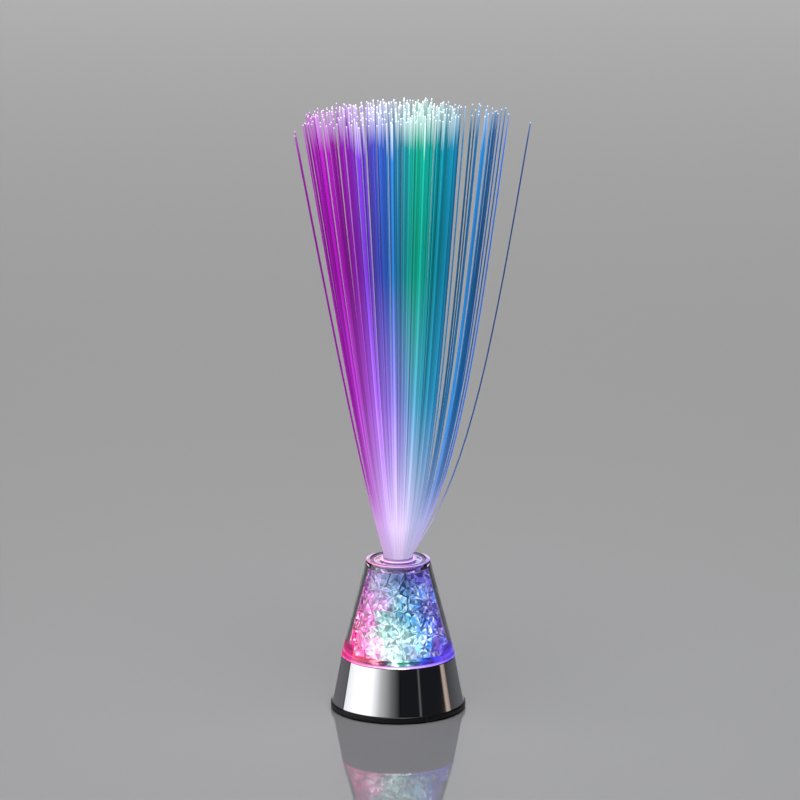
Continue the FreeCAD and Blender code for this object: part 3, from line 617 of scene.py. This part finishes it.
# Nodes, material, colour, roughness and scale of the grain
PLASTICS = (
    (("foot_plate", "battery_door", "battery_box"), "black_plastic", (0.012, 0.012, 0.014), 0.32, 900.0),
    (("foot_ring",), "foot_rubber", (0.02, 0.02, 0.021), 0.75, 500.0),
    (("switch_body",), "switch_case", (0.03, 0.03, 0.03), 0.5, 600.0),
    (("switch_slider",), "switch_knob", (0.62, 0.62, 0.6), 0.45, 600.0),
    (("driver_chip",), "chip_black", (0.02, 0.02, 0.02), 0.5, 900.0),
    (("circuit_board",), "board_green", (0.02, 0.16, 0.07), 0.3, 400.0),
    (("reflector_cup",), "reflector_white", (0.85, 0.85, 0.85), 0.2, 300.0),
    (("fibre_ferrule",), "ferrule_plastic", (0.7, 0.66, 0.8), 0.3, 300.0),
    (("wire_red", "wire_switched"), "wire_red", (0.5, 0.01, 0.01), 0.4, 500.0),
    (("wire_black",), "wire_black", (0.015, 0.015, 0.015), 0.4, 500.0))
# Nodes, material, colour and roughness
METALS = (
    (("foot_screws", "board_screws"), "screw_steel", (0.55, 0.55, 0.57), 0.25),
    (CONTACT_NODES, "contact_metal", (0.72, 0.7, 0.66), 0.2),
    (CELL_NODES, "cell_steel", (0.35, 0.36, 0.4), 0.3))
LAMPS = (("led_1", (1.0, 0.1, 0.25, 1)), ("led_2", (0.1, 0.9, 0.4, 1)), ("led_3", (0.15, 0.2, 1.0, 1)))
SPRAY_SEED = 5
CRYSTAL_SEED = 9


def build_spray():
    """The fibres, in the groups of their CAD nodes."""
    chance = random.Random(SPRAY_SEED)
    material = fibre_material()
    for node in STRAND_NODES:
        mesh = strands_mesh("lit_" + node, node, chance)
        mesh.materials.append(material)
        new_piece("lit_" + node, mesh, "fibre_stalk", (node,))


def build_crystals():
    """The crystals, in the layers of their CAD nodes."""
    chance = random.Random(CRYSTAL_SEED)
    material = crystal_material()
    for node in CRYSTAL_NODES:
        mesh = crystals_mesh("cut_" + node, node, chance)
        mesh.materials.append(material)
        new_piece("cut_" + node, mesh, "base", (node,))


def paint(node, material):
    """Gives a CAD node its material."""
    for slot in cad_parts[node].material_slots:
        slot.material = material


def paint_clear_parts():
    """Clear acrylic whose edges catch the light: rings at the lid and arcs round the chamber's foot."""
    far = 1.0
    foot_r, low = chamber_high.x, chamber_low.z
    rim_r, high = lid_high.x + 2.35 * MM, chamber_high.z
    under = low + 0.05 * MM
    lid_skin = lid_high.z - 0.15 * MM
    paint("crystal_chamber", acrylic_material(
        "chamber_acrylic",
        (rim_r - 0.5 * MM, far, high - 0.5 * MM, far, 0.9),
        (foot_r - 0.45 * MM, far, -far, low + 0.5 * MM, 0.8),
        (foot_r - 1.6 * MM, foot_r - 1.2 * MM, -far, under, 0.8),
        (foot_r - 2.7 * MM, foot_r - 2.5 * MM, -far, under, 0.7),
        (foot_r - 3.9 * MM, foot_r - 0.5 * MM, -far, under, 0.4)))
    paint("chamber_lid", acrylic_material(
        "lid_acrylic", (-far, far, lid_skin, far, 0.6), (-far, far, lid_low.z - far, lid_skin, 0.04)))
    paint("light_tube", acrylic_material("tube_acrylic", (-far, far, tube_top - 0.3 * MM, far, 1.1)))
    paint("bonded_bundle", acrylic_material("bundle_acrylic", (-far, far, tube_top - 1 * MM, far, 0.9)))
    paint("chamber_floor", floor_disc_material())


def paint_base():
    """The chromed shell and all that the base holds."""
    paint("base_shell", chrome_material())
    for makes, rows in ((plastic_material, PLASTICS), (metal_material, METALS)):
        for nodes, *look in rows:
            material = makes(*look)
            for node in nodes:
                paint(node, material)
    for node, colour in LAMPS:
        paint(node, lamp_material(node, colour))


# Studio

CAMERA_BACK = 3.5
CAMERA_HEIGHT = 1.037
AIM = Vector((0.001, 0, 0.1687))
LENS = 306.5
SENSOR = 36
FLOOR_SIZE = 16
PANEL_FAR = 2.6
PANEL_STEPS = 24
# Name, bearings of its ends (front 0, left -90), height, and light along it
PANELS = (
    ("left_softbox", -108, 4, 0.8, (
        (0.0, grey(1.25)), (0.52, grey(1.2)), (0.68, grey(0.5)), (0.85, grey(0.16)), (1.0, grey(0.0)))),
    ("left_fill", -150, -112, 0.8, ((0.0, grey(0.04)), (1.0, grey(0.09)))),
    ("right_sliver", 37, 42, 0.8, ((0.0, grey(0.03)), (0.6, grey(0.12)), (1.0, grey(0.04)))),
    ("right_strip", 90, 103, 0.8, (
        (0.0, (0.2, 0.15, 0.12, 1)), (0.4, (0.62, 0.47, 0.37, 1)), (1.0, (0.3, 0.22, 0.18, 1)))),
    ("back_softbox", 160, 200, 1.1, ((0.0, grey(0.8)), (1.0, grey(0.8)))))
TOP_LIGHT = (0.0, -0.25, 1.1)
TOP_SIDE = 0.7
TOP_POWER = 5.0


def add_camera():
    """The camera, at the photograph's viewing angle."""
    data = bpy.data.cameras.new("camera")
    data.lens = LENS
    data.sensor_width = SENSOR
    data.clip_start = 0.1
    data.clip_end = 50
    camera = bpy.data.objects.new("camera", data)
    bpy.context.scene.collection.objects.link(camera)
    camera.location = (AIM.x, -CAMERA_BACK, CAMERA_HEIGHT)
    camera.rotation_euler = (AIM - camera.location).to_track_quat("-Z", "Y").to_euler()
    bpy.context.scene.camera = camera


def add_floor():
    """A pale floor with a sheen."""
    bpy.ops.mesh.primitive_plane_add(size=FLOOR_SIZE, location=(0, 0, 0))
    floor = bpy.context.object
    floor.name = "floor"
    shader = Shader("pale_floor", Roughness=0.55, Coat_Weight=1.0, Coat_Roughness=0.04)
    tone = shader.noise(shader.place(), 3.0)
    shader.drive("Base Color", shader.mix(tone, (0.62, 0.62, 0.64, 1), (0.58, 0.58, 0.6, 1)))
    floor.data.materials.append(shader.material)


def add_panel(name, start, end, high, stops):
    """A curved panel of soft light that stands on the floor and runs from one bearing to another."""
    vertices, faces = [], []
    for k in range(PANEL_STEPS + 1):
        bearing = math.radians(start + (end - start) * k / PANEL_STEPS)
        for height in (0.0, high):
            vertices.append((PANEL_FAR * math.sin(bearing), -PANEL_FAR * math.cos(bearing), height))
    for k in range(PANEL_STEPS):
        faces.append((2 * k, 2 * k + 2, 2 * k + 3, 2 * k + 1))
    mesh = bpy.data.meshes.new(name)
    mesh.from_pydata(vertices, [], faces)
    layer = mesh.uv_layers.new(name="panel")
    for loop in mesh.loops:
        layer.data[loop.index].uv = (loop.vertex_index // 2 / PANEL_STEPS, loop.vertex_index % 2)
    panel = bpy.data.objects.new(name, mesh)
    bpy.context.scene.collection.objects.link(panel)
    panel.visible_camera = False
    panel.visible_shadow = False
    shader = Shader(name, Base_Color=(0, 0, 0, 1), Roughness=1.0, Emission_Strength=1.0)
    shader.drive("Emission Color", shader.ramp(shader.uv("panel")[0], stops))
    mesh.materials.append(shader.material)


def add_top_light():
    """A square softbox over the lamp, a little to the front."""
    data = bpy.data.lights.new("top_softbox", "AREA")
    data.shape = "RECTANGLE"
    data.size = TOP_SIDE
    data.size_y = TOP_SIDE
    data.energy = TOP_POWER
    light = bpy.data.objects.new("top_softbox", data)
    bpy.context.scene.collection.objects.link(light)
    light.location = TOP_LIGHT
    light.rotation_euler = (-Vector(TOP_LIGHT)).to_track_quat("-Z", "Y").to_euler()


def add_world():
    """A dim, slightly blue surrounding."""
    world = bpy.data.worlds.new("studio")
    bpy.context.scene.world = world
    world.use_nodes = True
    back = world.node_tree.nodes["Background"]
    back.inputs["Color"].default_value = (0.5, 0.52, 0.6, 1)
    back.inputs["Strength"].default_value = 0.02
    bpy.context.scene.view_settings.view_transform = "Standard"


add_camera()
build_spray()
build_crystals()
paint_clear_parts()
paint_base()
add_floor()
for panel_values in PANELS:
    add_panel(*panel_values)
add_top_light()
add_world()
